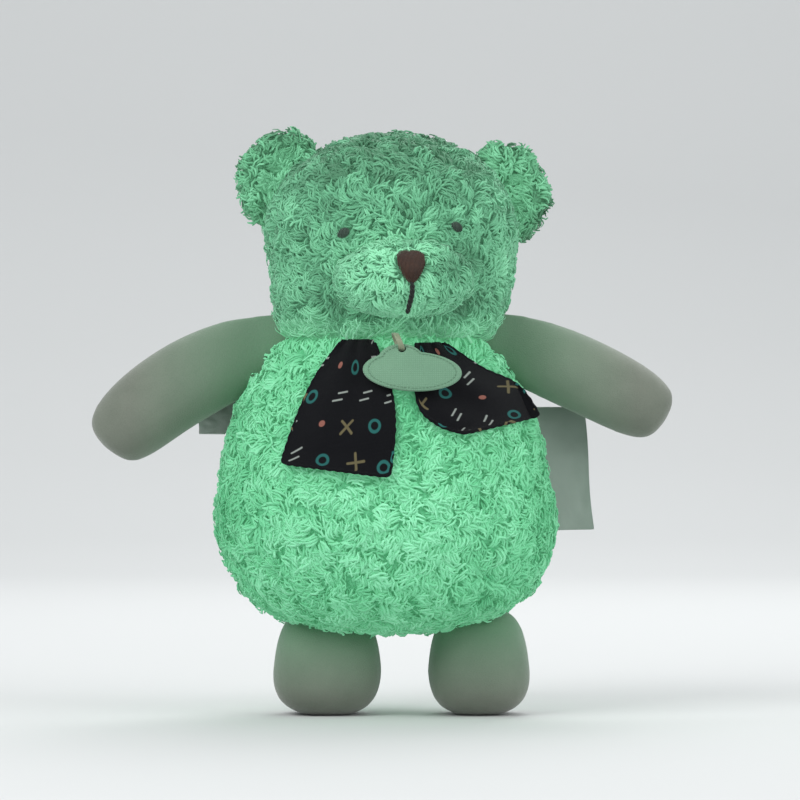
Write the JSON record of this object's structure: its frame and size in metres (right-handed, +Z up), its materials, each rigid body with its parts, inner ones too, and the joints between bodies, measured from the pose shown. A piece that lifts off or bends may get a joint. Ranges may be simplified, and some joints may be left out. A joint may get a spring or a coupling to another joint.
{
  "type": "musical plush bear",
  "caption": "Plush bear, shown upright, with a wind-up musical movement inside, a butterfly key at the back, swinging limbs, a turning head and a printed scarf.",
  "frame": {"origin": "on the ground between the feet, at the middle of the bear's width and depth", "axes": "+Z up, the bear looks towards -Y, +X is the viewer's right"},
  "size_m": [0.1992, 0.1216, 0.1998],
  "materials": {
    "body_plush": "curly plush pile",
    "head_plush": "curly plush pile",
    "velour": "short velour nap",
    "stuffing": "loose polyester fibre",
    "eye_thread": "satin stitch embroidery",
    "nose_thread": "satin stitch embroidery",
    "mouth_thread": "thick twisted thread",
    "scarf_cloth": "printed cotton",
    "tag_cloth": "padded felt",
    "satin": "woven satin ribbon",
    "case_plastic": "moulded plastic",
    "key_metal": "plated die casting",
    "zinc": "die cast zinc",
    "steel": "bright steel",
    "brass": "plain brass",
    "dark_plastic": "moulded acetal"
  },
  "bodies": {
    "torso": {"body_skin": "body_plush", "body_filling": "stuffing", "key_grommet": "case_plastic", "scarf_band": "scarf_cloth", "scarf_knot": "scarf_cloth", "scarf_tail_left": "scarf_cloth", "scarf_tail_right": "scarf_cloth", "tag_ribbon": "satin", "care_label": "satin", "case_back": "case_plastic", "case_front": "case_plastic", "case_screw_1": "steel", "case_screw_2": "steel", "base_plate": "zinc", "plate_screw_1": "steel", "plate_screw_2": "steel", "governor_bracket": "brass", "comb": "steel", "comb_screw_1": "steel", "comb_screw_2": "steel", "clutch_spring": "steel"},
    "winding_key": {"key": "key_metal", "winding_arbor": "steel"},
    "barrel": {"spring_barrel": "brass", "barrel_cap": "brass", "mainspring": "steel"},
    "tune_cylinder": {"cylinder": "brass", "cylinder_pinion": "steel", "cylinder_wheel": "dark_plastic"},
    "idler": {"idler_shaft": "steel", "worm_wheel": "dark_plastic"},
    "governor": {"governor_worm": "steel", "governor_fan": "dark_plastic"},
    "head": {"head_skin": "head_plush", "head_filling": "stuffing", "muzzle": "head_plush", "nose": "nose_thread", "mouth_stitch": "mouth_thread", "ear_left": "head_plush", "ear_right": "head_plush", "eye_left": "eye_thread", "eye_right": "eye_thread"},
    "left_arm": {"arm_left_skin": "velour", "arm_left_filling": "stuffing"},
    "right_arm": {"arm_right_skin": "velour", "arm_right_filling": "stuffing"},
    "left_leg": {"leg_left_skin": "velour", "leg_left_filling": "stuffing"},
    "right_leg": {"leg_right_skin": "velour", "leg_right_filling": "stuffing"},
    "hang_tag": {"tag": "tag_cloth"},
    "label_flap": {"side_label": "satin"}
  },
  "joints": [
    {"name": "key_turn", "type": "hinge", "parent": "torso", "child": "winding_key", "pos_m": [-0.011, 0.04464, 0.068], "axis": [0, 1, 0], "range_deg": [0, 1530]},
    {"name": "barrel_turn", "type": "hinge", "parent": "torso", "child": "barrel", "pos_m": [-0.011, 0.00864, 0.068], "axis": [0, 1, 0], "range_deg": [0, 1530]},
    {"name": "cylinder_turn", "type": "hinge", "parent": "torso", "child": "tune_cylinder", "pos_m": [0.0153, 0.00649, 0.068], "axis": [1, 0, 0], "range_deg": [-4590, 0]},
    {"name": "idler_turn", "type": "hinge", "parent": "torso", "child": "idler", "pos_m": [0.02, 0.00649, 0.08015], "axis": [1, 0, 0], "range_deg": [0, 13770]},
    {"name": "governor_turn", "type": "hinge", "parent": "torso", "child": "governor", "pos_m": [0.0186, 0.00649, 0.08685], "axis": [0, 1, 0], "range_deg": [0, 137700]},
    {"name": "head_turn", "type": "hinge", "parent": "torso", "child": "head", "pos_m": [0.0022, -0.00836, 0.1297], "axis": [0, 0, 1], "range_deg": [-20, 20], "stiffness_Nm_per_rad": 0.05},
    {"name": "left_arm_swing", "type": "hinge", "parent": "torso", "child": "left_arm", "pos_m": [-0.0435, -0.00836, 0.1238], "axis": [0, 1, 0], "range_deg": [0, 35], "stiffness_Nm_per_rad": 0.04},
    {"name": "right_arm_swing", "type": "hinge", "parent": "torso", "child": "right_arm", "pos_m": [0.043, -0.00836, 0.1258], "axis": [0, -1, 0], "range_deg": [0, 20], "stiffness_Nm_per_rad": 0.04},
    {"name": "left_leg_swing", "type": "hinge", "parent": "torso", "child": "left_leg", "pos_m": [-0.0193, -0.00636, 0.0185], "axis": [-1, 0, 0], "range_deg": [-15, 40], "stiffness_Nm_per_rad": 1.5},
    {"name": "right_leg_swing", "type": "hinge", "parent": "torso", "child": "right_leg", "pos_m": [0.0324, -0.00636, 0.0185], "axis": [-1, 0, 0], "range_deg": [-15, 40], "stiffness_Nm_per_rad": 1.5},
    {"name": "tag_swing", "type": "hinge", "parent": "torso", "child": "hang_tag", "pos_m": [0.00613, -0.04736, 0.12435], "axis": [-1, 0, 0], "range_deg": [0, 25]},
    {"name": "label_fold", "type": "hinge", "parent": "torso", "child": "label_flap", "pos_m": [0.0546, -0.00536, 0.084], "axis": [-0.1871, 0, 0.9823], "range_deg": [0, 30], "stiffness_Nm_per_rad": 0.0008}
  ],
  "couplings": [
    {"joint": "cylinder_turn", "follows": "barrel_turn", "ratio": -3},
    {"joint": "idler_turn", "follows": "barrel_turn", "ratio": 9},
    {"joint": "governor_turn", "follows": "barrel_turn", "ratio": 90}
  ]
}
